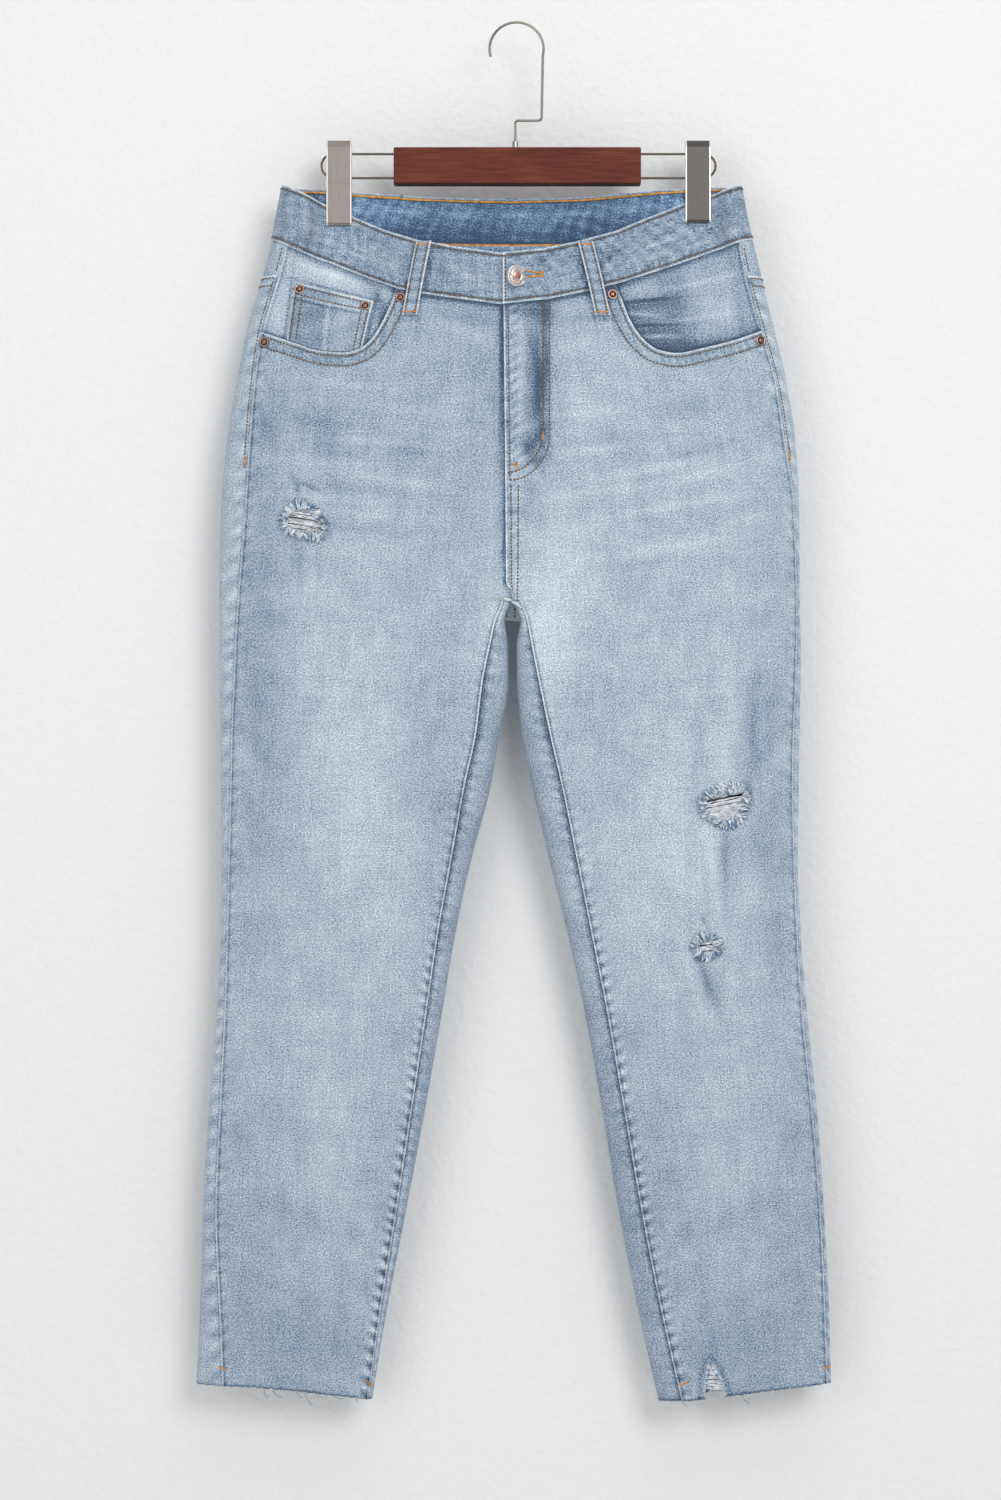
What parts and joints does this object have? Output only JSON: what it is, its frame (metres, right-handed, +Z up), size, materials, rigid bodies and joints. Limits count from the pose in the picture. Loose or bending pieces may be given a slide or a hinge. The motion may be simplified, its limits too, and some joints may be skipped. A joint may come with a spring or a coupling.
{
  "type": "skinny jeans on clip hanger",
  "caption": "Light-wash skinny jeans with scooped pockets, back patch pockets and rips, hung flat by the waistband from a clip hanger with a wooden bar and wire hook.",
  "frame": {"origin": "the point at the top of the inside of the hook, where the hanger hangs on a rail or peg", "axes": "+Z up; the front of the jeans faces -Y; +X points to the wearer's left"},
  "size_m": [0.5175, 0.0629, 1.1317],
  "materials": {
    "denim": "washed twill, matte",
    "thread": "twisted sewing thread",
    "button_metal": "aged satin",
    "rivet_metal": "aged copper colour",
    "hanger_metal": "satin nickel",
    "hanger_wood": "red-brown stain, satin lacquer"
  },
  "bodies": {
    "root": {"front_right": "denim", "seat_right": "denim", "back_right": "denim", "yoke_right": "denim", "pocket_facing_right": "denim", "back_pocket_right": "denim", "front_left": "denim", "seat_left": "denim", "back_left": "denim", "yoke_left": "denim", "pocket_facing_left": "denim", "back_pocket_left": "denim", "waistband": "denim", "coin_pocket": "denim", "belt_loop_1": "denim", "belt_loop_2": "denim", "belt_loop_3": "denim", "belt_loop_4": "denim", "belt_loop_5": "denim", "button": "button_metal", "rivet_1": "rivet_metal", "rivet_2": "rivet_metal", "rivet_3": "rivet_metal", "rivet_4": "rivet_metal", "rivet_5": "rivet_metal", "rivet_6": "rivet_metal", "hook": "hanger_metal", "ferrule": "hanger_metal", "bar": "hanger_wood", "wire_loop_right": "hanger_metal", "clip_front_right": "hanger_metal", "clip_back_right": "hanger_metal", "clip_spacer_right": "hanger_metal", "wire_loop_left": "hanger_metal", "clip_front_left": "hanger_metal", "clip_back_left": "hanger_metal", "clip_spacer_left": "hanger_metal"}
  },
  "joints": []
}
